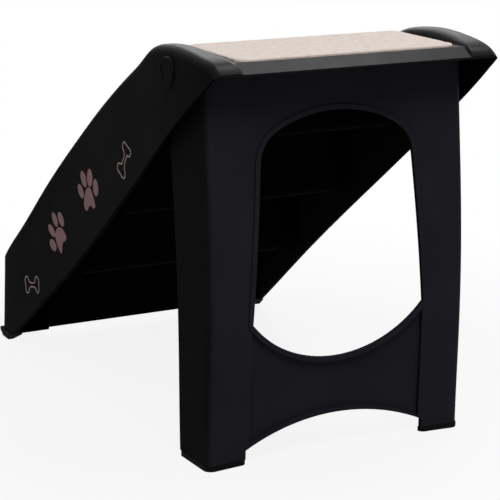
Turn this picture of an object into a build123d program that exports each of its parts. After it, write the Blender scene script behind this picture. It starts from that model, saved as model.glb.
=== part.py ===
from build123d import *
import math
import os

# Folding pet stairs: a moulded stair shell on a hinged leg frame.
# Sizes are in millimetres. X runs from the platform end to the low end, Y across the
# stairs and Z up. The origin is on the floor, at the middle of the footprint.

# Overall sizes
overall_length = 655.0
overall_width = 400.0
platform_height = 470.0
crest_above_platform = 10.0
crest_height = platform_height + crest_above_platform
x_back = -overall_length / 2
x_front = overall_length / 2

# Treads and risers
step_count = 3
platform_depth = 170.0
step_run = 147.0
step_rise = 113.3
riser_lean = 3.0
nose_radius = 7.0
inner_corner_radius = 9.0
side_width = 56.0
well_half = overall_width / 2 - side_width

# Shell walls and the sloped border at the back
side_wall = 3.5
tread_skin = 4.5
border_run = 19.0
border_drop = 9.8
lip_thickness = 2.2
lip_top = platform_height - border_drop
lip_bottom = lip_top - lip_thickness
overrun = 30.0

# Side walls
wall_draft_degrees = 2.0
band_inset = 2.4
lower_edge_sag = 3.7
front_foot_height = 10.5
front_foot_length = 46.0
x_toe = x_front - front_foot_length
front_round = 9.0
front_lean_degrees = 1.5
riser_bottom = 14.5

# One row for each station along the side rail, from the back to the front: the place along
# the length, the reach of the lower edge beyond the well, the rail's crest, the roundings of
# its outer and its inner top edge, and how far its band is set in, as shares of the length,
# the side's width, the crest height, the rail's width and the band's inset.
rail_width = 40.0
rail_station_shares = (
    (0.000, 0.670, 0.961, 0.230, 0.100, 0.05),
    (0.029, 0.703, 0.983, 0.270, 0.200, 0.05),
    (0.062, 0.745, 0.991, 0.310, 0.330, 0.05),
    (0.105, 0.780, 0.997, 0.340, 0.450, 0.07),
    (0.155, 0.792, 1.000, 0.350, 0.480, 0.12),
    (0.205, 0.786, 0.996, 0.350, 0.470, 0.20),
    (0.252, 0.768, 0.983, 0.345, 0.440, 0.34),
    (0.302, 0.743, 0.946, 0.340, 0.400, 0.56),
    (0.365, 0.730, 0.899, 0.335, 0.360, 0.80),
    (0.435, 0.712, 0.847, 0.330, 0.340, 1.00),
    (0.515, 0.700, 0.781, 0.326, 0.330, 1.00),
    (0.605, 0.708, 0.698, 0.330, 0.330, 1.00),
    (0.700, 0.754, 0.602, 0.345, 0.345, 1.00),
    (0.800, 0.840, 0.487, 0.366, 0.366, 1.00),
    (0.900, 0.934, 0.363, 0.380, 0.380, 1.00),
    (1.000, 1.000, 0.243, 0.390, 0.390, 1.00),
)

# Raised lower panel of the side wall: its upper border is one long arc, given by its two
# ends and its middle as shares of the length and the crest height.
panel_arc_shares = ((0.142, 0.896), (0.638, 0.560), (0.977, 0.050))

# Hinge
pivot_setback = 103.0
pivot_drop = 18.0
pivot_x = x_back + pivot_setback
pivot_z = platform_height - pivot_drop
pin_radius = 8.0
pin_head_radius = 17.2
pin_head_thickness = 5.0
pin_head_dish = 0.8
pin_head_fit = 0.4
pin_edge_round = 2.2
running_fit = 0.06
seat_setback = 16.0
seat_half = overall_width / 2 - seat_setback
seat_radius = 17.5
boss_depth = 9.5
boss_face_half = seat_half - boss_depth
washer_gap = 0.1
washer_thickness = 1.4
washer_radius = 14.0
ear_radius = 18.5
ear_thickness = 8.5
ear_relief = 13.0
ear_face_half = boss_face_half - washer_thickness - washer_gap
ear_inner_half = ear_face_half - ear_thickness
clip_thickness = 1.5
clip_radius = 11.5
clip_depth = 1.2
clip_gap = 0.1
clip_mouth = 9.0
pin_tail = 3.0

# Leg frame
leg_overhang = 40.0
leg_reference_x = x_back + leg_overhang
leg_depth = 60.0
leg_top_drop = 17.0
leg_top = platform_height - leg_top_drop
rear_foot_height = 6.0
leg_wall = 3.5
leg_side_gap = 0.4
leg_crease_flare = 2.8
leg_corner_flare = 6.5
leg_front_half = ear_face_half - leg_side_gap
leg_crease_half = leg_front_half - leg_crease_flare
leg_corner_half = leg_front_half - leg_corner_flare
leg_web_hollow = 9.0
leg_corner_round = 9.0
leg_inner_round = 5.0

# One row for each height of the leg frame: the height above the feet as a share of the way to
# the top, then the back face, the crease on the cheek and the front edge as shares of the
# leg's depth.
leg_station_shares = (
    (0.000, 0.000, 0.120, 1.130),
    (0.206, -0.067, 0.153, 1.155),
    (0.454, -0.090, 0.270, 1.205),
    (0.712, 0.025, 0.555, 1.373),
    (1.000, 0.208, 0.900, 1.590),
)
leg_shoulder_drop = 68.0
leg_shoulder_height = leg_top - leg_shoulder_drop

# Openings of the leg frame
leg_foot_width = 53.1
leg_shoulder_width = 68.6
arch_foot_half = leg_corner_half - leg_foot_width
arch_shoulder_half = leg_corner_half - leg_shoulder_width
arch_foot_height = 168.0
arch_shoulder_drop = 81.0
arch_top_drop = 50.0
arch_shoulder_height = leg_top - arch_shoulder_drop
arch_top_height = leg_top - arch_top_drop
arch_round = 42.0
panel_top_height = 114.5
foot_width = 47.1
foot_gap_half = leg_corner_half - foot_width
foot_gap_side_height = 17.0
foot_gap_top_height = 44.0
rim_width = 7.0
bead_width = 6.0
foot_rim_width = 5.0
rim_step = 1.8
panel_step = 5.0
foot_return = 10.0
foot_arm = 15.0

# Stops under the platform that the opened leg frame rests against
stop_setback = 54.0
stop_half = well_half - stop_setback
stop_width = 6.0
stop_length = 16.0
stop_gap = 0.2
stop_inset = 20.0

# Carpet pads and their tape
recess_depth = 2.0
tape_thickness = 0.8
carpet_thickness = 4.2
carpet_side_gap = 5.0
carpet_half = well_half - carpet_side_gap
carpet_corner = 12.0
carpet_edge_round = 1.2
carpet_gap = 0.4
carpet_border = 4.0
tape_inset = 6.0

# Rubber feet
shoe_rim = 1.0
shoe_edge_round = 1.2
shoe_corner_round = 6.0
stud_radius = 3.2
stud_head_radius = 4.4
stud_head_height = 2.5
stud_fit = 0.1
front_foot_width = 17.0
front_stud_setback = 11.0
front_foot_sole = 7.0
rear_stud_setback = 8.0
front_foot_flat_start = 12.0
front_foot_flat_end = 34.0
front_foot_tip_height = 7.0


def mirrored(solid):
    """The same piece on the other side of the stairs."""
    return mirror(solid, about=Plane.XZ)


def side_profile(points, half_from, half_to):
    """A prism across the stairs, from one place on Y to another, with an outline in X and Z."""
    face = make_face(Polyline(*points, close=True))
    return extruded_across(face, half_from, half_to)


def extruded_across(face, half_from, half_to):
    """Move an outline drawn in X and Z to half_from and give it its width along +Y."""
    placed = Plane((0, half_from, 0), x_dir=(1, 0, 0), z_dir=(0, -1, 0)) * face
    return extrude(placed, amount=half_from - half_to)


def across_cylinder(radius, half_from, half_to, x=None, z=None):
    """A round bar along Y between two places, on the hinge axis unless x and z are given."""
    x = pivot_x if x is None else x
    z = pivot_z if z is None else z
    plane = Plane((x, half_from, z), x_dir=(1, 0, 0), z_dir=(0, 1, 0))
    return extrude(plane * Circle(radius), amount=half_to - half_from)


def lower_edge_height(x):
    """Height of the straight line from the back lip to the toe."""
    along = (x - x_back) / (x_toe - x_back)
    return lip_bottom + along * (front_foot_height - lip_bottom)


def rail_section(row, band, wall, skin, rounded):
    """The side rail and wall cut across the stairs at one station."""
    along, side_share, crest_share, outer_share, inner_share, band_share = row
    x = x_back + along * (x_front - x_back)
    inset = wall + band * band_share
    half = well_half + side_share * side_width
    crest = crest_share * crest_height
    low = lower_edge_height(x)
    lean = math.tan(math.radians(wall_draft_degrees))
    base = low - overrun
    corners = (
        (well_half + wall, base),
        (half + lean * overrun - inset, base),
        (half - lean * (crest - low) - inset, crest - skin),
        (well_half + wall, crest - skin),
    )
    face = make_face(Polyline(*corners, close=True))
    face = fillet(vertices_at(face, corners[2:3]), outer_share * rail_width - wall)
    if rounded:
        face = fillet(vertices_at(face, corners[3:4]), inner_share * rail_width - wall)
    return Plane((x, 0, 0), x_dir=(0, 1, 0), z_dir=(1, 0, 0)) * face


def rail_loft(band, wall, skin, rounded=True):
    """A filled rail, set in by the band's inset, the wall and the skin of its crest."""
    return loft([rail_section(row, band, wall, skin, rounded) for row in rail_station_shares])


def riser_x(index):
    """Foot of a riser: number 0 drops from the platform, the last one to the floor."""
    return x_back + platform_depth + index * step_run


def tread_height(index):
    """Top of a tread: number 0 is the platform."""
    return platform_height - index * step_rise


def stair_face(riser_skin, skin, lip_skin, bottom):
    """Everything below the treads, or below their underside when the skins are given."""
    points = [(x_back, bottom), (x_back, lip_top - lip_skin)]
    points.append((x_back + border_run, platform_height - skin))
    noses = []
    corners = []
    for index in range(step_count + 1):
        nose = (riser_x(index) - riser_lean - riser_skin, tread_height(index) - skin)
        foot = (riser_x(index) - riser_skin, tread_height(index + 1) - skin)
        points.append(nose)
        noses.append(nose)
        if index < step_count:
            points.append(foot)
            corners.append(foot)
    points.append((riser_x(step_count) - riser_skin, bottom))
    face = make_face(Polyline(*points, close=True))
    inside = riser_skin > 0
    nose_round = nose_radius - side_wall if inside else nose_radius
    corner_round = inner_corner_radius + side_wall if inside else inner_corner_radius
    face = fillet(vertices_at(face, noses), nose_round)
    return fillet(vertices_at(face, corners), corner_round)


def vertices_at(face, places):
    """The corners of a drawn face that lie at the given places."""
    found = []
    for x, y in places:
        found.append(face.vertices().sort_by_distance((x, y, 0))[0])
    return found


def trim_face():
    """Side view of the shell: open above, closed by the lower edge, the toe and both ends."""
    top = crest_height + overrun
    lean = math.tan(math.radians(front_lean_degrees))
    middle_x = (x_back + x_toe) / 2
    middle_z = lower_edge_height(middle_x) - lower_edge_sag
    edge = ThreePointArc((x_back, lip_bottom), (middle_x, middle_z), (x_toe, front_foot_height))
    rest = Polyline(
        (x_toe, front_foot_height),
        (x_front, front_foot_height),
        (x_front - lean * (top - front_foot_height), top),
        (x_back, top),
        (x_back, lip_bottom),
    )
    return make_face(edge + rest)


def void_face():
    """Side view of the hollow in a rail: open below but for the plate over the front foot."""
    top = crest_height + overrun
    plate = front_foot_height + side_wall
    heel = x_toe - overrun
    front = x_front - side_wall
    points = ((x_back - overrun, -overrun), (heel, -overrun), (heel, plate))
    points += ((front, plate), (front, top), (x_back - overrun, top))
    return make_face(Polyline(*points, close=True))


def panel_face():
    """Side view of the raised lower panel: below its arc."""
    ends = [(x_back + a * overall_length, b * crest_height) for a, b in panel_arc_shares]
    arc = ThreePointArc(*ends)
    first, last = ends[0], ends[2]
    behind = x_back - overrun
    rest = Polyline(last, (last[0], -overrun), (behind, -overrun), (behind, lip_top), first)
    return make_face(arc + rest)


def shoulder_face():
    """Side view of the border and the platform, as far as the platform's front edge."""
    end = riser_x(0) - riser_lean - nose_radius
    low = platform_height - rail_width / 2
    points = ((x_back, lip_bottom), (x_back, lip_top), (x_back + border_run, platform_height))
    points += ((end, platform_height), (end, low), (x_back + border_run, low))
    return make_face(Polyline(*points, close=True))


def carpet_span(index):
    """Where the pad of a tread starts and ends along X."""
    if index == 0:
        start = x_back + border_run + carpet_border
    else:
        start = riser_x(index - 1) + inner_corner_radius + carpet_border
    end = riser_x(index) - riser_lean - nose_radius - carpet_border
    return start, end


def pad(index, grow, bottom, top):
    """A sheet in the shape of a tread's carpet pad, grown all round."""
    start, end = carpet_span(index)
    outline = RectangleRounded(end - start + 2 * grow, 2 * (carpet_half + grow), carpet_corner + grow)
    return extrude(Pos((start + end) / 2, 0, bottom) * outline, amount=top - bottom)


def leg_stop():
    """A rib under the platform, just above the top of the opened leg frame."""
    start = leg_reference_x + stop_inset
    low = leg_top + stop_gap
    high = platform_height - tread_skin / 2
    points = ((start, low), (start + stop_length, low), (start + stop_length, high), (start, high))
    return side_profile(points, stop_half - stop_width / 2, stop_half + stop_width / 2)


def front_stud(side):
    """Middle of a front foot's stud, on one side of the stairs."""
    return Pos(x_front - front_foot_length / 2, side * (overall_width / 2 - front_stud_setback), 0)


def rear_stud(side):
    """Middle of a rear shoe's stud, on one side of the stairs."""
    return Pos(leg_reference_x + leg_depth / 2, side * (leg_crease_half - rear_stud_setback), 0)


def stair_shell():
    trim = extruded_across(trim_face(), 0, overall_width)
    panel = rail_loft(0, 0, 0) & extruded_across(panel_face(), 0, overall_width)
    rail = (rail_loft(band_inset, 0, 0) + panel) & trim
    edges = rail.faces().sort_by(Axis.X)[-1].edges()
    rail = fillet([edge for edge in edges if edge.center().Z > 2 * front_foot_height], front_round)
    shoulder = extruded_across(shoulder_face(), well_half, overall_width / 2)
    rail += shoulder & rail_loft(band_inset, 0, 0, False)
    seat = across_cylinder(seat_radius, boss_face_half, seat_half)
    hollow = rail_loft(band_inset, side_wall, tread_skin)
    hollow = (hollow & extruded_across(void_face(), 0, overall_width)) - seat
    block = extruded_across(stair_face(0, 0, 0, riser_bottom), 0, well_half + side_wall / 2) & trim
    under = stair_face(side_wall, tread_skin, lip_thickness, -overrun)
    under = extruded_across(under, -overrun, well_half + side_wall + side_wall / 2)
    half = rail + seat + block - under - hollow
    half -= across_cylinder(pin_radius, boss_face_half - overrun, overall_width / 2)
    half -= across_cylinder(pin_head_radius + pin_head_fit, seat_half, overall_width / 2)
    half += leg_stop()
    for index in range(step_count + 1):
        top = tread_height(index)
        half -= pad(index, carpet_gap, top - recess_depth, top + overrun)
    half -= front_stud(1) * Cylinder(stud_radius + stud_fit, 2 * overrun)
    return half + mirrored(half)


def carpet(index):
    bottom = tread_height(index) - recess_depth + tape_thickness
    sheet = pad(index, 0, bottom, bottom + carpet_thickness)
    return fillet(sheet.faces().sort_by(Axis.Z)[-1].edges(), carpet_edge_round)


def tape(index):
    bottom = tread_height(index) - recess_depth
    return pad(index, -tape_inset, bottom, bottom + tape_thickness)


def leg_section(row, wall, corner_round):
    """The leg frame cut level at one height: filled in, or its hollow when a wall is given."""
    height_share, back_share, crease_share, front_share = row
    back = leg_reference_x + back_share * leg_depth + wall
    crease = leg_reference_x + crease_share * leg_depth + wall
    front = leg_reference_x + front_share * leg_depth
    front += overrun if wall else 0
    ends = ((back, leg_corner_half - wall), (back, wall - leg_corner_half))
    web = ThreePointArc(ends[0], (back + leg_web_hollow, 0), ends[1])
    rest = Polyline(
        ends[1],
        (crease, wall - leg_crease_half),
        (front, wall - leg_front_half),
        (front, leg_front_half - wall),
        (crease, leg_crease_half - wall),
        ends[0],
    )
    face = fillet(vertices_at(make_face(web + rest), ends), corner_round)
    height = rear_foot_height + height_share * (leg_top - rear_foot_height)
    return Pos(0, 0, height) * face


def leg_loft(wall, corner_round):
    return loft([leg_section(row, wall, corner_round) for row in leg_station_shares])


def through_leg(face):
    """A prism along X through the whole leg frame, from an outline in Y and Z."""
    plane = Plane((leg_reference_x - overrun, 0, 0), x_dir=(0, 1, 0), z_dir=(1, 0, 0))
    return extrude(plane * face, amount=2 * leg_depth + 2 * overrun)


def arch_face():
    """The large opening: leaning sides, a bowed top and a dished lower edge."""
    foot = (arch_foot_half, arch_foot_height)
    shoulder = (arch_shoulder_half, arch_shoulder_height)
    other_foot = (-arch_foot_half, arch_foot_height)
    other_shoulder = (-arch_shoulder_half, arch_shoulder_height)
    outline = Line(foot, shoulder)
    outline += ThreePointArc(shoulder, (0, arch_top_height), other_shoulder)
    outline += Line(other_shoulder, other_foot)
    outline += ThreePointArc(other_foot, (0, panel_top_height), foot)
    face = make_face(outline)
    return fillet(vertices_at(face, (shoulder, other_shoulder)), arch_round)


def foot_gap_face():
    """The arched gap between the two feet, under the cross panel."""
    side = (foot_gap_half, foot_gap_side_height)
    other = (-foot_gap_half, foot_gap_side_height)
    outline = ThreePointArc(side, (0, foot_gap_top_height), other)
    outline += Polyline(other, (-foot_gap_half, -overrun), (foot_gap_half, -overrun), side)
    return make_face(outline)


def cross_panel_face(grow):
    """The recessed field of the cross panel, between the rims of both openings."""
    top_side = arch_foot_height - rim_width + grow
    low_side = foot_gap_side_height + foot_rim_width - grow
    half_top = arch_foot_half + grow
    half_low = foot_gap_half - foot_rim_width + grow
    outline = Line((half_low, low_side), (half_top, top_side))
    crown = (0, panel_top_height - rim_width + grow)
    outline += ThreePointArc((half_top, top_side), crown, (-half_top, top_side))
    outline += Line((-half_top, top_side), (-half_low, low_side))
    sill = (0, foot_gap_top_height + foot_rim_width - grow)
    outline += ThreePointArc((-half_low, low_side), sill, (half_low, low_side))
    return make_face(outline)


def recessed(solid, grow):
    """Step the cross panel forward of the leg's back face."""
    return solid - (through_leg(cross_panel_face(grow)) - Pos(panel_step, 0, 0) * solid)


def rim(filled, face, width):
    """A flat bead round one opening, standing proud of the leg's back face."""
    ring = through_leg(offset(face, width) - face)
    proud = Pos(-rim_step, 0, 0) * filled
    return ring & (proud - Pos(leg_wall / 2, 0, 0) * filled)


def foot_outline(grow):
    """Plan of the left foot at its lower end, less its open corner when it isn't grown."""
    plan = leg_section(leg_station_shares[0], 0, leg_corner_round)
    plan = Pos(0, 0, -rear_foot_height) * plan
    width = overall_width / 2 - foot_gap_half
    window = Pos(leg_reference_x, foot_gap_half + width / 2) * Rectangle(4 * leg_depth, width)
    return offset(plan & window, grow) if grow else plan & window


def foot_opening():
    """The part of a foot's plan inside its two arms."""
    start = leg_reference_x + foot_return
    half = leg_crease_half - foot_arm
    corner = Pos(start, half) * Rectangle(4 * leg_depth, 2 * half, align=(Align.MIN, Align.MAX))
    return fillet(vertices_at(corner, ((start, half),)), foot_return / 2)


def foot_wall(filled, side):
    """The short return along the inner side of a foot."""
    wall = Box(
        foot_return,
        leg_wall,
        foot_gap_side_height + leg_wall - rear_foot_height,
        align=(Align.MIN, Align.MIN, Align.MIN),
    )
    wall = Pos(leg_reference_x, foot_gap_half, rear_foot_height) * wall
    wall = wall if side > 0 else mirrored(wall)
    return wall & filled


def ear(side):
    """The thick round end of a cheek that turns on its pin."""
    disc = across_cylinder(ear_radius, ear_inner_half, ear_face_half)
    return disc if side > 0 else mirrored(disc)


def shoulder_cut():
    """What the cheeks lose in front of the ears, so that they clear the rails when folded."""
    ear_front = pivot_x + ear_radius
    top = crest_height + overrun
    far = leg_reference_x + 2 * leg_depth
    front_share = leg_station_shares[-2][3]
    shoulder = leg_reference_x + front_share * leg_depth + (leg_top - leg_shoulder_height) / 10
    points = ((ear_front, pivot_z), (shoulder, leg_shoulder_height))
    points += ((far, leg_shoulder_height), (far, top), (ear_front, top))
    return side_profile(points, -overall_width / 2, overall_width / 2)


def leg_frame():
    filled = leg_loft(0, leg_corner_round)
    bottom = rear_foot_height + leg_wall
    room = Box(
        4 * leg_depth,
        overall_width,
        leg_top - leg_wall - bottom,
        align=(Align.CENTER, Align.CENTER, Align.MIN),
    )
    hollow = leg_loft(leg_wall, leg_inner_round) & (Pos(leg_reference_x, 0, bottom) * room)
    frame = recessed(filled, 0) - recessed(hollow, leg_wall)
    frame -= through_leg(arch_face()) + through_leg(foot_gap_face())
    frame += rim(filled, arch_face(), bead_width)
    frame += foot_wall(filled, 1) + foot_wall(filled, -1)
    for side in (1, -1):
        notch = extrude(foot_opening(), amount=bottom + leg_wall)
        frame -= notch if side > 0 else mirrored(notch)
    relief = Box(
        2 * leg_depth,
        2 * ear_inner_half,
        ear_radius + ear_relief,
        align=(Align.MIN, Align.CENTER, Align.MIN),
    )
    frame -= Pos(pivot_x - ear_relief, 0, pivot_z - ear_relief) * relief
    frame -= shoulder_cut()
    frame += ear(1) + ear(-1)
    hole = pin_radius + running_fit
    frame -= across_cylinder(hole, -overall_width / 2, overall_width / 2)
    for side in (1, -1):
        frame -= rear_stud(side) * Cylinder(stud_radius + stud_fit, 2 * overrun)
    return frame


def pivot_pin(side):
    """A pin with a round cap outside the shell and a groove for its ring inside."""
    end = ear_inner_half - clip_gap - clip_thickness - pin_tail
    pin = across_cylinder(pin_radius, end, seat_half)
    head = across_cylinder(pin_head_radius, seat_half, seat_half + pin_head_thickness)
    head = fillet(head.faces().sort_by(Axis.Y)[-1].edges(), pin_edge_round)
    dish_start = seat_half + pin_head_thickness - pin_head_dish
    head -= across_cylinder(pin_head_radius - 2 * pin_edge_round, dish_start, overall_width / 2)
    start = ear_inner_half - clip_gap - clip_thickness
    stop = ear_inner_half - clip_gap
    groove = across_cylinder(pin_radius + clip_depth, start, stop)
    groove -= across_cylinder(pin_radius - clip_depth, start, stop)
    pin = pin + head - groove
    return pin if side > 0 else mirrored(pin)


def pivot_washer(side):
    start = boss_face_half - washer_thickness
    ring = across_cylinder(washer_radius, start, boss_face_half)
    ring -= across_cylinder(pin_radius + running_fit, start, boss_face_half)
    return ring if side > 0 else mirrored(ring)


def pivot_clip(side):
    """An open spring ring that sits in the pin's groove."""
    start = ear_inner_half - clip_gap - clip_thickness
    end = start + clip_thickness
    ring = across_cylinder(clip_radius, start, end)
    ring -= across_cylinder(pin_radius - clip_depth, start, end)
    mouth = Box(clip_mouth, overrun, clip_radius, align=(Align.CENTER, Align.CENTER, Align.MAX))
    ring -= Pos(pivot_x, start, pivot_z) * mouth
    return ring if side > 0 else mirrored(ring)


def stud(top):
    """A rubber stud with a swollen head, pushed up through the plate above a foot."""
    head_start = top + leg_wall + stud_fit
    neck = Cylinder(stud_radius, head_start - top, align=(Align.CENTER, Align.CENTER, Align.MIN))
    head = Cone(
        stud_head_radius,
        stud_radius,
        stud_head_height,
        align=(Align.CENTER, Align.CENTER, Align.MIN),
    )
    return Pos(0, 0, top) * neck + Pos(0, 0, head_start) * head


def rear_foot(side):
    """A rubber shoe along the two arms of one foot, a little proud of the leg."""
    plan = foot_outline(0)
    sharp = plan.vertices().group_by(Axis.Y)[0]
    sharp += plan.vertices().sort_by(Axis.X)[-2:].sort_by(Axis.Y)[-1:]
    plan = fillet(sharp, shoe_corner_round)
    shoe = extrude(offset(plan, shoe_rim), amount=rear_foot_height)
    shoe = fillet(shoe.edges().group_by(Axis.Z)[-1], shoe_edge_round)
    shoe -= Pos(0, 0, -rear_foot_height) * extrude(foot_opening(), amount=3 * rear_foot_height)
    shoe += rear_stud(1) * stud(rear_foot_height)
    return shoe if side > 0 else mirrored(shoe)


def front_foot(side):
    """A rubber wedge under the toe of one side wall."""
    tip = x_front
    points = (
        (x_toe, front_foot_height),
        (x_toe + front_foot_flat_start, 0),
        (x_toe + front_foot_flat_end, 0),
        (tip, front_foot_tip_height),
        (tip, front_foot_height),
    )
    foot = side_profile(points, overall_width / 2 - front_foot_width, overall_width / 2)
    inner = overall_width / 2 - front_foot_width
    slant = ((inner, -overrun), (inner, front_foot_tip_height), (inner + front_foot_width - front_foot_sole, 0))
    slant += ((inner + front_foot_width - front_foot_sole, -overrun),)
    slant = Plane((x_toe - overrun, 0, 0), x_dir=(0, 1, 0), z_dir=(1, 0, 0)) * make_face(
        Polyline(*slant, close=True)
    )
    foot -= extrude(slant, amount=front_foot_length + 2 * overrun)
    foot = fillet(foot.edges().filter_by(Axis.Z), shoe_edge_round)
    foot += front_stud(1) * stud(front_foot_height)
    return foot if side > 0 else mirrored(foot)


def write(name, solid):
    """Save one piece under its node's name."""
    export_step(solid, os.path.join("parts", name + ".step"))
    print(name, "solids", len(solid.solids()), "volume", round(solid.volume))


def main():
    os.makedirs("parts", exist_ok=True)
    write("stair_shell", stair_shell())
    write("leg_frame", leg_frame())
    for index in range(step_count + 1):
        write("platform_carpet" if index == 0 else f"step_carpet_{index}", carpet(index))
        write("platform_tape" if index == 0 else f"step_tape_{index}", tape(index))
    for name, side in (("left", 1), ("right", -1)):
        write("pivot_pin_" + name, pivot_pin(side))
        write("pivot_washer_" + name, pivot_washer(side))
        write("pivot_clip_" + name, pivot_clip(side))
        write("front_foot_" + name, front_foot(side))
        write("rear_foot_" + name, rear_foot(side))


if __name__ == "__main__":
    main()
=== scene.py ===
import math

import bpy
import numpy as np
from mathutils import Matrix, Vector
from mathutils.bvhtree import BVHTree
from mathutils.geometry import delaunay_2d_cdt


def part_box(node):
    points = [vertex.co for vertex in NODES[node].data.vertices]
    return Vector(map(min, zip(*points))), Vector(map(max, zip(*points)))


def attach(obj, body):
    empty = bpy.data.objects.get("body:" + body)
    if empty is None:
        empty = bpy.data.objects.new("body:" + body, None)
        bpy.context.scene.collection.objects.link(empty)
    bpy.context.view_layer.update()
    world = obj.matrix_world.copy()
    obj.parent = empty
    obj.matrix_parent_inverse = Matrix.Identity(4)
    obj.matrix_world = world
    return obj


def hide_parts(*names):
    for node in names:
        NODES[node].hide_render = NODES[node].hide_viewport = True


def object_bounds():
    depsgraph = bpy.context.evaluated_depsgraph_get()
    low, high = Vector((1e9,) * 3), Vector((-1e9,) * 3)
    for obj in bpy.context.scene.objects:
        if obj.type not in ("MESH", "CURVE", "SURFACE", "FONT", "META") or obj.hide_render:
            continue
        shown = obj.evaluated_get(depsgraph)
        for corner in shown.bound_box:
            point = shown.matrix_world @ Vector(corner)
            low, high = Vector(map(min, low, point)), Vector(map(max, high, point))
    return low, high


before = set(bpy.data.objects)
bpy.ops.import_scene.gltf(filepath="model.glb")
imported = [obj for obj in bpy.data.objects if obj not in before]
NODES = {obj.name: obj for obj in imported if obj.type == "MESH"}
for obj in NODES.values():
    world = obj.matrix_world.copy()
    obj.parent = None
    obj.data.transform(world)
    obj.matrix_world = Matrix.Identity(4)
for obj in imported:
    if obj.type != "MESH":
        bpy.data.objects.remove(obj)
CAD_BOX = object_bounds()
MM = 0.001
SAME_POINT = 1e-7


# Camera at the photo's place and angle, in metres and degrees

CAMERA_PLACE = (-1.9897, 0.9935, 0.7559)
CAMERA_YAW = 27.262
CAMERA_PITCH = 14.626
CAMERA_ROLL = 0.16
CAMERA_LENS = 127.9
CAMERA_SENSOR = 36.0
CAMERA_REACH = 50.0


def make_camera():
    """The photo's camera: yaw turns it to the right of +X, pitch tips it down."""
    data = bpy.data.cameras.new("camera")
    data.sensor_width = CAMERA_SENSOR
    data.lens = CAMERA_LENS
    data.clip_end = CAMERA_REACH
    camera = bpy.data.objects.new("camera", data)
    bpy.context.scene.collection.objects.link(camera)
    yaw, pitch = math.radians(CAMERA_YAW), math.radians(CAMERA_PITCH)
    forward = Vector(
        (math.cos(yaw) * math.cos(pitch), -math.sin(yaw) * math.cos(pitch), -math.sin(pitch))
    )
    right = forward.cross(Vector((0, 0, 1))).normalized()
    up = right.cross(forward)
    turn = Matrix.Rotation(-math.radians(CAMERA_ROLL), 3, forward)
    right, up = turn @ right, turn @ up
    axes = Matrix((right, up, -forward)).transposed()
    camera.matrix_world = Matrix.Translation(CAMERA_PLACE) @ axes.to_4x4()
    bpy.context.scene.camera = camera


# Node trees


def put(node, **values):
    """Set a node's sockets; an underscore in a key stands for a space in the socket's name."""
    for key, value in values.items():
        node.inputs[key.replace("_", " ")].default_value = value
    return node


class Tree:
    """A node tree with short ways to add and join nodes."""

    def __init__(self, tree):
        self.tree = tree
        self.tree.nodes.clear()

    def add(self, kind, **settings):
        node = self.tree.nodes.new(kind)
        for key, value in settings.items():
            setattr(node, key, value)
        return node

    def join(self, source, target):
        self.tree.links.new(source, target)

    def math(self, operation, *values, clamp=False):
        node = self.add("ShaderNodeMath", operation=operation, use_clamp=clamp)
        for socket, value in zip(node.inputs, values):
            if isinstance(value, (int, float)):
                socket.default_value = value
            else:
                self.join(value, socket)
        return node.outputs[0]

    def seen(self):
        """1 for rays that show the background: camera, glossy and transmission rays."""
        path = self.add("ShaderNodeLightPath").outputs
        both = self.math("ADD", path["Is Camera Ray"], path["Is Glossy Ray"], clamp=True)
        return self.math("ADD", both, path["Is Transmission Ray"], clamp=True)


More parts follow.
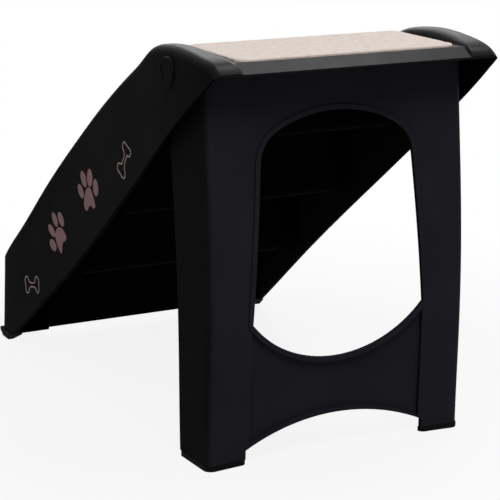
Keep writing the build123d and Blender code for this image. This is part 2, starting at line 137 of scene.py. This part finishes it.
class Paint(Tree):
    """A material's tree: one shader, and patterns laid out in the object's own space."""

    # Where the sideways mask starts and becomes full; it carries painted shade as well as roughness
    SIDE_START = 0.45
    SIDE_FULL = 0.95

    def __init__(self, name):
        self.material = bpy.data.materials.new(name)
        self.material.use_nodes = True
        super().__init__(self.material.node_tree)
        self.out = self.add("ShaderNodeOutputMaterial")
        self.shader = self.add("ShaderNodeBsdfPrincipled")
        self.join(self.shader.outputs[0], self.out.inputs["Surface"])
        places = self.add("ShaderNodeTexCoord")
        self.coords = places.outputs["Object"]
        self.facing = places.outputs["Normal"]

    def noise(self, scale, detail=3.0, rough=0.55, stretch=None):
        node = put(self.add("ShaderNodeTexNoise"), Scale=scale, Detail=detail, Roughness=rough)
        source = self.coords
        if stretch:
            mapping = put(self.add("ShaderNodeMapping"), Scale=stretch)
            self.join(source, mapping.inputs["Vector"])
            source = mapping.outputs[0]
        self.join(source, node.inputs["Vector"])
        return node.outputs["Fac"]

    def ramp(self, source, *stops):
        """Colours along a pattern, each stop a place and a colour."""
        node = self.add("ShaderNodeValToRGB")
        elements = node.color_ramp.elements
        while len(elements) < len(stops):
            elements.new(0.5)
        for element, (place, color) in zip(elements, stops):
            element.position = place
            element.color = (*color, 1.0)
        self.join(source, node.inputs["Fac"])
        return node.outputs["Color"]

    def spread(self, source, low, high, start=0.3, stop=0.7):
        """A pattern's range from start to stop, laid over the range from low to high."""
        node = put(
            self.add("ShaderNodeMapRange"), From_Min=start, From_Max=stop, To_Min=low, To_Max=high
        )
        self.join(source, node.inputs["Value"])
        return node.outputs["Result"]

    def bump(self, source, strength, distance, under=None):
        node = put(self.add("ShaderNodeBump"), Strength=strength, Distance=distance)
        self.join(source, node.inputs["Height"])
        if under:
            self.join(under, node.inputs["Normal"])
        return node.outputs["Normal"]

    def blend(self, share, color, other):
        node = self.add("ShaderNodeMix", data_type="RGBA")
        ins = [s for s in node.inputs if s.enabled]
        self.join(share, ins[0])
        self.join(color, ins[1])
        ins[2].default_value = (*other, 1.0)
        return [s for s in node.outputs if s.enabled][0]

    def side_share(self):
        """1 on faces that look sideways, 0 on those that look up, down, forward or back; it lays
        painted shade on the sideways faces and roughens them.
        """
        split = self.add("ShaderNodeSeparateXYZ")
        self.join(self.facing, split.inputs[0])
        sideways = self.math("ABSOLUTE", split.outputs["Y"])
        return self.spread(sideways, 0.0, 1.0, self.SIDE_START, self.SIDE_FULL)

    def finish(self, color, rough, normal=None, **values):
        """Join what is patterned to the shader, set the rest and hand the material over."""
        self.join(color, self.shader.inputs["Base Color"])
        if isinstance(rough, float):
            self.shader.inputs["Roughness"].default_value = rough
        else:
            self.join(rough, self.shader.inputs["Roughness"])
        if normal:
            self.join(normal, self.shader.inputs["Normal"])
        put(self.shader, **values)
        return self.material


# Materials

GRAIN_SCALE = 900.0
GRAIN_DEPTH = 0.06 * MM
WAVE_DEPTH = 1.0 * MM
TONE_SPREAD = 0.12
ROUGH_SPREAD = 0.03
EDGE_ROUND = 1.2 * MM
EDGE_SAMPLES = 6
SHINE_TINT = (0.93, 0.925, 1.0, 1.0)


def plastic(
    name,
    tone,
    rough,
    level,
    side_shade_tone=None,
    side_rough=None,
    grain=GRAIN_SCALE,
    depth=GRAIN_DEPTH,
):
    """Black moulded plastic: a leathery grain, faint handling marks and softened edges.

    Faces that look sideways get a rougher finish and a darker base colour; the darker colour is
    painted shade.
    """
    t = Paint(name)
    low = [c * (1.0 - TONE_SPREAD) for c in tone]
    high = [c * (1.0 + TONE_SPREAD) for c in tone]
    color = t.ramp(t.noise(14.0, 4.0), (0.3, low), (0.7, high))
    marks = t.noise(26.0, 5.0, 0.6)
    roughness = t.spread(marks, rough - ROUGH_SPREAD, rough + ROUGH_SPREAD)
    if side_shade_tone:
        side = t.side_share()
        # painted shade: faces that look sideways get a darker base colour
        color = t.blend(side, color, side_shade_tone)
        roughness = t.math("MULTIPLY_ADD", side, side_rough - rough, roughness)
    edges = put(t.add("ShaderNodeBevel", samples=EDGE_SAMPLES), Radius=EDGE_ROUND)
    wave = t.bump(t.noise(7.0, 2.0), 0.2, WAVE_DEPTH, edges.outputs["Normal"])
    normal = t.bump(t.noise(grain, 2.0, 0.5), 0.5, depth, wave)
    return t.finish(
        color, roughness, normal, Specular_IOR_Level=level, Specular_Tint=SHINE_TINT
    )


def rubber(name):
    """Dull black rubber with a little dust."""
    t = Paint(name)
    dust = t.noise(60.0, 5.0, 0.65)
    color = t.ramp(dust, (0.35, (0.0035, 0.0035, 0.0042)), (0.75, (0.0075, 0.0075, 0.0085)))
    grit = t.bump(t.noise(1400.0, 3.0, 0.6), 0.7, 0.2 * MM)
    return t.finish(color, t.spread(dust, 0.70, 0.85), grit, Specular_IOR_Level=0.05)


def carpet_material(name):
    """Short heathered pile: pale pinkish beige with darker and lighter flecks."""
    t = Paint(name)
    fleck = t.noise(620.0, 3.0, 0.7)
    patch = t.noise(95.0, 4.0, 0.65)
    mix = put(t.add("ShaderNodeMix", data_type="FLOAT"), Factor=0.4)
    t.join(fleck, mix.inputs["A"])
    t.join(patch, mix.inputs["B"])
    color = t.ramp(
        mix.outputs["Result"],
        (0.30, (0.50, 0.41, 0.36)),
        (0.43, (0.70, 0.60, 0.54)),
        (0.56, (0.80, 0.70, 0.635)),
        (0.72, (0.90, 0.83, 0.77)),
    )
    return t.finish(
        color,
        0.95,
        t.bump(fleck, 0.8, 0.6 * MM),
        Sheen_Weight=0.25,
        Sheen_Roughness=0.5,
        Specular_IOR_Level=0.15,
    )


def print_material(name, low, high):
    """Thin screen-printed ink, a little uneven where it went on over the grain."""
    t = Paint(name)
    wear = t.noise(420.0, 5.0, 0.7)
    color = t.ramp(wear, (0.32, low), (0.62, high))
    normal = t.bump(wear, 0.4, 0.08 * MM)
    return t.finish(color, t.spread(wear, 0.6, 0.8), normal, Specular_IOR_Level=0.08)


def metal(name):
    """Steel wire with fine streaks along its turns."""
    t = Paint(name)
    streak = t.noise(300.0, 3.0, 0.5, stretch=(1.0, 8.0, 1.0))
    color = t.ramp(streak, (0.3, (0.42, 0.42, 0.43)), (0.7, (0.6, 0.6, 0.61)))
    normal = t.bump(streak, 0.2, 0.05 * MM)
    return t.finish(color, t.spread(streak, 0.25, 0.4), normal, Metallic=1.0)


def pale_plastic(name, tone, rough):
    """Uncoloured plastic, slightly cloudy."""
    t = Paint(name)
    cloud = t.noise(50.0, 4.0)
    color = t.ramp(cloud, (0.3, [c * 0.9 for c in tone]), (0.7, tone))
    normal = t.bump(cloud, 0.2, 0.2 * MM)
    return t.finish(color, t.spread(cloud, rough - 0.08, rough + 0.05), normal)


# CAD nodes that stay, with the faces of their hollows told apart by rays and darkened as painted
# shade

RAY_START = 0.2 * MM
# How far ahead another face may stand for a face to count as shut in and get the painted shade
RAIL_HOLLOW = 55.0 * MM
UNDER_SLOPE = -0.3
ROOF_REACH = 1.0


def dress(node, material, inner=None, reach=0.0):
    """Give a carried-over CAD node its material, and its hollows the inner one, a near-black
    painted shade.

    A face is in a hollow when another one stands within reach before it, or when it looks down
    or back and has a roof.
    """
    data = NODES[node].data
    data.materials.clear()
    data.materials.append(material)
    for polygon in data.polygons:
        polygon.material_index = 0
    if not inner:
        return
    # The inner material is painted shade: near-black on faces in hollows and under roofs
    data.materials.append(inner)
    tree = BVHTree.FromPolygons(
        [v.co for v in data.vertices], [tuple(p.vertices) for p in data.polygons]
    )
    for polygon in data.polygons:
        start = polygon.center + polygon.normal * RAY_START
        shut = tree.ray_cast(start, polygon.normal, reach)[0] is not None
        under = polygon.normal.z < UNDER_SLOPE or polygon.normal.x < UNDER_SLOPE
        roofed = tree.ray_cast(start, Vector((0, 0, 1)), ROOF_REACH)[0] is not None
        polygon.material_index = int(shut or (under and roofed))


# Meshes


def add_mesh(name, vertices, faces, material, smooth=True):
    """A piece of the scene's own that rides on the stairs."""
    data = bpy.data.meshes.new(name)
    data.from_pydata([tuple(v) for v in vertices], [], [tuple(f) for f in faces])
    data.validate()
    data.update()
    for polygon in data.polygons:
        polygon.use_smooth = smooth
    data.materials.append(material)
    piece = bpy.data.objects.new(name, data)
    bpy.context.scene.collection.objects.link(piece)
    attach(piece, "stairs")
    return piece


# Carpets

CARPET_CORNER = 12.0 * MM
CARPET_PILE = 0.5 * MM
CARPET_GRID = 1.6 * MM
CORNER_PARTS = 8
RIM_GRID = 1.5 * CARPET_GRID
RIM_GAP = 0.8 * CARPET_GRID
GRID_STRAY = 0.3
EDGE_FALL = 1.3 * MM
EDGE_WIDTH = 2.2 * MM
SIDE_LEAN = (-0.0004, 0.004, 0.002)


def rim_outline(inner_x, inner_y):
    """The pad's outline from above, with rounded corners and points about one grid apart."""
    ring = []
    for sx, sy, start in ((1, 1, 0), (-1, 1, 90), (-1, -1, 180), (1, -1, 270)):
        for step in range(CORNER_PARTS + 1):
            angle = math.radians(start + 90 * step / CORNER_PARTS)
            x = sx * inner_x + CARPET_CORNER * math.cos(angle)
            y = sy * inner_y + CARPET_CORNER * math.sin(angle)
            ring.append((x, y))
    outline = []
    for i, a in enumerate(ring):
        b = ring[(i + 1) % len(ring)]
        parts = max(1, round(math.dist(a, b) / RIM_GRID))
        start, along = np.array(a), np.array(b) - np.array(a)
        outline += [tuple(start + along * k / parts) for k in range(parts)]
    return outline


def carpet_piece(name, node, material):
    """A pad of short pile over the CAD pad: rounded corners, a soft edge and an uneven top."""
    low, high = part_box(node)
    center = (low + high) / 2
    half_x, half_y = (high.x - low.x) / 2, (high.y - low.y) / 2
    inner_x, inner_y = half_x - CARPET_CORNER, half_y - CARPET_CORNER
    rng = np.random.default_rng(len(node) + int(abs(center.x) * 1000))

    def from_corners(x, y):
        """Distance outwards from the lines that join the centres of the rounded corners."""
        qx, qy = abs(x) - inner_x, abs(y) - inner_y
        return math.hypot(max(qx, 0), max(qy, 0)) + min(max(qx, qy), 0)

    outline = rim_outline(inner_x, inner_y)
    count = len(outline)
    points = [Vector(p) for p in outline]
    steps_x = int(2 * half_x / CARPET_GRID)
    steps_y = int(2 * half_y / CARPET_GRID)
    for i in range(steps_x + 1):
        for j in range(steps_y + 1):
            stray_x = rng.uniform(-GRID_STRAY, GRID_STRAY) * CARPET_GRID
            stray_y = rng.uniform(-GRID_STRAY, GRID_STRAY) * CARPET_GRID
            x = -half_x + 2 * half_x * i / steps_x + stray_x
            y = -half_y + 2 * half_y * j / steps_y + stray_y
            if from_corners(x, y) < CARPET_CORNER - RIM_GAP:
                points.append(Vector((x, y)))
    edges = [(i, (i + 1) % count) for i in range(count)]
    flat, _, triangles, *_ = delaunay_2d_cdt(points, edges, [], 1, SAME_POINT)

    top = []
    for p in flat:
        depth = CARPET_CORNER - from_corners(p.x, p.y)
        fall = EDGE_FALL * max(0.0, 1.0 - depth / EDGE_WIDTH) ** 2
        pile = CARPET_PILE * rng.uniform(-1.0, 0.2)
        top.append((center.x + p.x, center.y + p.y, high.z - fall + pile))
    rim = [(x, y) for x, y, _ in top[:count]]
    out, in_x, in_y = SIDE_LEAN
    middle = [
        (
            x + (center.x - x) * rng.uniform(out, in_x),
            y + (center.y - y) * rng.uniform(out, in_y),
            (low.z + high.z) / 2,
        )
        for x, y in rim
    ]
    base = [(x, y, low.z) for x, y in rim]

    start_middle, start_base = len(top), len(top) + count
    faces = [tuple(t) for t in triangles]
    for i, j in edges:
        faces.append((i, start_middle + i, start_middle + j, j))
        faces.append((start_middle + i, start_base + i, start_base + j, start_middle + j))
    faces.append(tuple(start_base + i for i in range(count)))
    piece = add_mesh(name, top + middle + base, faces, material)
    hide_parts(node)


# Corners of the rails' front ends, which lean back and narrow upwards

CORNER_ROUND = 9.0 * MM
CORNER_RING = (5.5 * MM, 8.2 * MM)
CORNER_SPAN = (70.0 * MM, 109.5 * MM)
CORNER_STEPS = 7
FRONT_LOW = 10.5 * MM
FRONT_LEAN = math.tan(math.radians(1.5))
WALL_DRAFT = math.tan(math.radians(2.0))
WELL_HALF = 144.0 * MM
OUTER_MIDDLE = 187.4 * MM


def front_corner(name, side, outer, material):
    """Backs the rounded upright corner of a rail's front end from inside, where it is thin."""
    vertices, faces = [], []
    first = 0 if outer else -90
    for z in CORNER_SPAN:
        x = CAD_BOX[1].x - FRONT_LEAN * (z - FRONT_LOW) - CORNER_ROUND
        y = WELL_HALF + CORNER_ROUND
        if outer:
            y = OUTER_MIDDLE - WALL_DRAFT * (z - FRONT_LOW)
        for step in range(CORNER_STEPS):
            angle = math.radians(first + 90 * step / (CORNER_STEPS - 1))
            for r in CORNER_RING:
                vertices.append((x + r * math.cos(angle), side * (y + r * math.sin(angle)), z))
    high = 2 * CORNER_STEPS
    for a in range(0, high - 2, 2):
        b = a + 2
        faces.append((a + 1, b + 1, b + 1 + high, a + 1 + high))
        faces.append((b, a, a + high, b + high))
        faces.append((a + high, a + 1 + high, b + 1 + high, b + high))
        faces.append((b, b + 1, a + 1, a))
    last = high - 2
    faces.append((0, 1, 1 + high, high))
    faces.append((last + 1, last, last + high, last + 1 + high))
    if side < 0:
        faces = [tuple(reversed(face)) for face in faces]
    add_mesh(name, vertices, faces, material, smooth=False)


# Prints on the left side wall

PRINT_PROUD = 0.12 * MM
PRINT_SUNK = 0.06 * MM
PRINT_GRID = 3.0 * MM
BONE_LINE = 1.6 * MM
CURVE_STEPS = 5
WALL_FACING = 0.8
FAR_OFF = 0.3

# Outlines of the printed figures, in millimetres along X and up Z
UPPER_PAW = (
    (
        (61.3, 268.7), (56.2, 268.5), (50.7, 266.1), (46.4, 262.3), (44.3, 258.1), (45.0, 254.5),
        (48.3, 252.6), (53.4, 252.8), (58.9, 255.1), (63.3, 258.9), (65.5, 263.2), (64.7, 266.8),
    ),
    (
        (52.1, 287.3), (46.9, 286.9), (41.4, 284.1), (37.2, 279.6), (35.3, 274.7), (36.2, 270.6),
        (39.7, 268.5), (44.9, 268.9), (50.4, 271.7), (54.7, 276.2), (56.6, 281.1), (55.6, 285.2),
    ),
    (
        (26.4, 294.9), (21.6, 294.2), (17.7, 290.8), (15.7, 285.5), (16.2, 279.6), (19.0, 274.9),
        (23.4, 272.5), (28.3, 273.0), (32.2, 276.5), (34.2, 281.8), (33.7, 287.7), (30.9, 292.5),
    ),
    (
        (6.2, 285.7), (1.5, 285.2), (-2.6, 282.0), (-5.0, 277.1), (-5.0, 271.7), (-2.7, 267.2),
        (1.5, 264.9), (6.2, 265.4), (10.4, 268.5), (12.6, 273.5), (12.6, 279.0), (10.3, 283.4),
    ),
    (
        (29.2, 270.8), (20.1, 269.6), (13.2, 263.6), (6.8, 256.7), (4.3, 251.3), (8.8, 247.7),
        (15.3, 248.4), (21.0, 248.7), (26.7, 245.6), (31.7, 240.3), (38.8, 240.6), (42.9, 246.1),
        (42.2, 255.3), (37.7, 265.2),
    ),
)
LOWER_PAW = (
    (
        (151.4, 176.9), (145.9, 177.0), (140.3, 175.2), (136.3, 171.9), (134.8, 168.1),
        (136.3, 164.7), (140.3, 162.7), (145.9, 162.5), (151.4, 164.3), (155.5, 167.6),
        (157.0, 171.5), (155.5, 174.9),
    ),
    (
        (158.5, 195.4), (152.8, 195.4), (146.6, 193.5), (141.4, 190.2), (138.7, 186.4),
        (139.0, 183.1), (142.5, 181.2), (148.0, 181.1), (154.3, 183.0), (159.5, 186.3),
        (162.3, 190.1), (161.9, 193.4),
    ),
    (
        (147.3, 213.9), (142.7, 213.5), (137.6, 210.9), (133.4, 206.9), (131.1, 202.4),
        (131.5, 198.7), (134.4, 196.8), (138.9, 197.1), (144.1, 199.6), (148.3, 203.7),
        (150.5, 208.2), (150.2, 211.9),
    ),
    (
        (127.4, 218.5), (122.2, 218.3), (116.8, 215.8), (112.6, 211.8), (110.6, 207.3),
        (111.4, 203.6), (114.9, 201.5), (120.0, 201.7), (125.4, 204.1), (129.7, 208.1),
        (131.6, 212.7), (130.8, 216.4),
    ),
    (
        (126.6, 198.4), (115.4, 198.1), (107.4, 194.3), (102.2, 189.2), (106.2, 184.2),
        (113.7, 180.5), (115.5, 174.4), (116.9, 165.3), (123.7, 166.9), (130.2, 171.7),
        (134.9, 176.3), (138.3, 181.8), (137.8, 188.9), (134.3, 194.3),
    ),
)
UPPER_BONE = (
    (-92.9, 350.0), (-98.3, 347.8), (-105.3, 345.6), (-111.1, 343.9), (-113.3, 340.8),
    (-110.1, 336.3), (-104.6, 334.8), (-100.1, 335.2), (-99.0, 331.9), (-95.8, 327.2),
    (-93.4, 322.9), (-93.6, 318.5), (-96.4, 313.3), (-95.8, 308.7), (-91.0, 305.9),
    (-85.6, 307.1), (-79.8, 309.7), (-72.9, 312.2), (-70.2, 315.6), (-71.6, 319.4),
    (-77.4, 321.8), (-83.7, 322.0), (-87.1, 325.5), (-91.2, 330.7), (-91.9, 335.3),
    (-90.9, 338.6), (-87.2, 341.4), (-86.7, 345.1), (-88.7, 348.3),
)
LOWER_BONE = (
    (232.1, 106.8), (227.3, 104.6), (223.0, 101.0), (213.8, 101.6), (205.2, 105.0),
    (204.5, 109.4), (200.7, 113.9), (193.9, 112.0), (192.5, 107.1), (191.9, 102.1),
    (191.5, 96.9), (194.9, 92.2), (199.2, 93.1), (202.8, 96.8), (209.1, 97.2), (218.5, 95.2),
    (222.9, 91.2), (224.4, 86.8), (229.1, 83.7), (233.4, 85.3), (235.1, 90.2), (235.9, 95.2),
    (238.4, 99.3), (236.6, 103.7),
)


def smooth_outline(points):
    """A smooth closed outline in metres through given points in millimetres."""
    found = []
    count = len(points)
    for i in range(count):
        a, b, c, d = (np.array(points[(i + k) % count], float) for k in (-1, 0, 1, 2))
        square, cube = 2 * a - 5 * b + 4 * c - d, 3 * b - a - 3 * c + d
        for step in range(CURVE_STEPS):
            t = step / CURVE_STEPS
            found.append(tuple(MM * (0.5 * (2 * b + (c - a) * t + square * t**2 + cube * t**3))))
    return found


def within(point, loop):
    """Whether a point lies inside a closed outline."""
    x, y = point
    inside = False
    for (x1, y1), (x2, y2) in zip(loop, (loop[-1], *loop[:-1])):
        if (y1 > y) != (y2 > y) and x < (x2 - x1) * (y - y1) / (y2 - y1) + x1:
            inside = not inside
    return inside


def inset_loop(loop, distance):
    """The outline moved inwards, or outwards where the distance is negative."""
    count = len(loop)
    area = sum(
        loop[i][0] * loop[(i + 1) % count][1] - loop[(i + 1) % count][0] * loop[i][1]
        for i in range(count)
    )
    inwards = distance if area > 0 else -distance
    found = []
    for i in range(count):
        step = np.array(loop[(i + 1) % count]) - np.array(loop[i - 1])
        along = step / np.linalg.norm(step)
        found.append(tuple(np.array(loop[i]) + inwards * np.array((-along[1], along[0]))))
    return found


def wall_tree():
    """The shell's outer faces on the left side, to lay the prints on."""
    data = NODES["stair_shell"].data
    faces = [tuple(p.vertices) for p in data.polygons if p.normal.y > WALL_FACING]
    return BVHTree.FromPolygons([v.co for v in data.vertices], faces)


def print_piece(name, outer, hole, wall, material):
    """A thin layer of ink on the wall, inside the outer outline and outside the hole."""
    points, edges = [], []
    for loop in (outer, hole):
        start = len(points)
        points += [Vector(p) for p in loop]
        edges += [(start + i, start + (i + 1) % len(loop)) for i in range(len(loop))]
    if not hole:
        low, high = np.min(points, axis=0), np.max(points, axis=0)
        for x in np.arange(low[0], high[0], PRINT_GRID):
            for z in np.arange(low[1], high[1], PRINT_GRID):
                if within((x, z), outer):
                    points.append(Vector((x, z)))
    flat, _, triangles, *_ = delaunay_2d_cdt(points, edges, [], 0, SAME_POINT)
    kept = []
    for triangle in triangles:
        middle = sum((flat[i] for i in triangle), Vector((0, 0))) / 3
        if within(middle, outer) and not (hole and within(middle, hole)):
            kept.append(triangle)

    used = sorted({i for triangle in kept for i in triangle})
    order = {index: place for place, index in enumerate(used)}
    inwards = Vector((0, -1, 0))
    laid = [wall.ray_cast(Vector((flat[i].x, FAR_OFF, flat[i].y)), inwards)[0] for i in used]
    count = len(laid)
    vertices = [v - PRINT_PROUD * inwards for v in laid] + [v + PRINT_SUNK * inwards for v in laid]
    faces, sides = [], []
    for triangle in kept:
        a, b, c = (order[i] for i in triangle)
        if (vertices[b] - vertices[a]).cross(vertices[c] - vertices[a]).y < 0:
            b, c = c, b
        faces += [(a, b, c), (c + count, b + count, a + count)]
        sides += [(a, b), (b, c), (c, a)]
    inner = set(sides)
    for a, b in sides:
        if (b, a) not in inner:
            faces.append((b, a, a + count, b + count))
    add_mesh(name, vertices, faces, material, smooth=False)


def add_prints(ink, line):
    """Two filled paws and two bones drawn as lines."""
    wall = wall_tree()
    for name, paw in (("upper", UPPER_PAW), ("lower", LOWER_PAW)):
        for index, points in enumerate(paw):
            stem = "pad" if index == len(paw) - 1 else f"toe_{index + 1}"
            print_piece(f"left_paw_{name}_{stem}", smooth_outline(points), (), wall, ink)
    for name, points in (("upper", UPPER_BONE), ("lower", LOWER_BONE)):
        middle = smooth_outline(points)
        edge, hole = inset_loop(middle, -BONE_LINE / 2), inset_loop(middle, BONE_LINE / 2)
        print_piece(f"left_bone_{name}", edge, hole, wall, line)


# Floor, light and world

FLOOR_HALF = 12.0
FLOOR_TONES = ((0.3, (0.62, 0.62, 0.62)), (0.7, (0.65, 0.65, 0.65)))
FLOOR_GLOW = 0.88
FLOOR_FADE = (0.35, 0.9)
WORLD_FILL = 0.20


def make_stage():
    """A pale floor that keeps the shadow near the object and turns white further out."""
    t = Paint("floor_paint")
    material = t.finish(t.ramp(t.noise(3.0, 2.0), *FLOOR_TONES), 0.9, Specular_IOR_Level=0.0)
    glow = t.add("ShaderNodeEmission")
    far = t.add("ShaderNodeVectorMath", operation="LENGTH")
    t.join(t.coords, far.inputs[0])
    share = t.spread(far.outputs["Value"], FLOOR_GLOW, 1.0, *FLOOR_FADE)
    both = t.add("ShaderNodeMixShader")
    t.join(t.math("MULTIPLY", t.seen(), share), both.inputs[0])
    t.join(t.shader.outputs[0], both.inputs[1])
    t.join(glow.outputs[0], both.inputs[2])
    t.join(both.outputs[0], t.out.inputs["Surface"])
    data = bpy.data.meshes.new("floor")
    corners = [(x * FLOOR_HALF, y * FLOOR_HALF, 0) for x, y in ((-1, -1), (1, -1), (1, 1), (-1, 1))]
    data.from_pydata(corners, [], [range(4)])
    data.materials.append(material)
    floor = bpy.data.objects.new("floor", data)
    bpy.context.scene.collection.objects.link(floor)


def area_light(name, place, target, size, power):
    """A square soft lamp that looks from its place at its target."""
    data = bpy.data.lights.new(name, "AREA")
    data.energy = power
    data.shape = "SQUARE"
    data.size = size
    lamp = bpy.data.objects.new(name, data)
    bpy.context.scene.collection.objects.link(lamp)
    lamp.location = place
    lamp.rotation_euler = (Vector(target) - Vector(place)).to_track_quat("-Z", "Y").to_euler()


def make_light():
    """Three soft lamps and a plain world that is white only as a background."""
    scene = bpy.context.scene
    scene.view_settings.view_transform = "Standard"
    world = bpy.data.worlds.new("studio")
    scene.world = world
    world.use_nodes = True
    t = Tree(world.node_tree)
    out = t.add("ShaderNodeOutputWorld")
    shade = put(t.add("ShaderNodeBackground"), Color=(1, 1, 1, 1))
    strength = t.math("MULTIPLY_ADD", t.seen(), 1.0 - WORLD_FILL, WORLD_FILL)
    t.join(strength, shade.inputs["Strength"])
    t.join(shade.outputs[0], out.inputs["Surface"])
    area_light("key", (-1.5, 0.5, 2.1), (-0.1, 0.0, 0.3), size=1.2, power=26.5)
    area_light("back", (0.35, -1.0, 2.4), (-0.25, 0.0, 0.45), size=0.9, power=22.0)
    area_light("front", (2.0, -1.2, 1.6), (0.0, 0.0, 0.25), size=1.2, power=8.0)


def dress_nodes():
    """Materials for the CAD nodes, and the carpets and corners made of the same ones."""
    # The side tones below are painted shade on the faces that look sideways
    shell = plastic(
        "shell_black",
        tone=(0.0055, 0.0055, 0.0060),
        rough=0.30,
        level=0.038,
        side_shade_tone=(0.0030, 0.0030, 0.0032),
        side_rough=0.85,
    )
    leg = plastic(
        "leg_black",
        tone=(0.0165, 0.0152, 0.0205),
        rough=0.50,
        level=0.02,
        side_shade_tone=(0.0072, 0.0072, 0.0080),
        side_rough=0.85,
    )
    # Painted shade for the shell's hollows and undersides: near-black and matte
    painted_hollow_shade = plastic("hollow_painted_shade", tone=(0.0012, 0.0012, 0.0013), rough=0.90, level=0.02)
    pin = plastic(
        "pin_black",
        tone=(0.0030, 0.0030, 0.0034),
        rough=0.42,
        level=0.04,
        side_shade_tone=(0.0018, 0.0018, 0.0020),
        side_rough=0.80,
        grain=1500.0,
        depth=0.03 * MM,
    )
    foot = rubber("foot_rubber")
    carpet = carpet_material("carpet_beige")
    tape = pale_plastic("tape_white", tone=(0.75, 0.74, 0.70), rough=0.6)
    washer = pale_plastic("washer_natural", tone=(0.62, 0.62, 0.58), rough=0.4)
    clip = metal("clip_steel")
    dress("stair_shell", shell, painted_hollow_shade, RAIL_HOLLOW)
    dress("leg_frame", leg)
    for side in ("left", "right"):
        dress("pivot_pin_" + side, pin)
        dress("pivot_washer_" + side, washer)
        dress("pivot_clip_" + side, clip)
        dress("front_foot_" + side, foot)
        dress("rear_foot_" + side, foot)
    for stem, tail in (("platform", ""), ("step", "_1"), ("step", "_2"), ("step", "_3")):
        dress(f"{stem}_tape{tail}", tape)
        carpet_piece(f"{stem}_pile{tail}", f"{stem}_carpet{tail}", carpet)
    for side, label in ((1, "left"), (-1, "right")):
        front_corner(label + "_front_corner_outer", side, True, shell)
        front_corner(label + "_front_corner_inner", side, False, shell)


def main():
    make_camera()
    dress_nodes()
    add_prints(
        ink=print_material("ink_mauve", (0.245, 0.140, 0.150), (0.350, 0.203, 0.220)),
        line=print_material("ink_line", (0.38, 0.29, 0.265), (0.52, 0.40, 0.365)),
    )
    make_stage()
    make_light()


main()
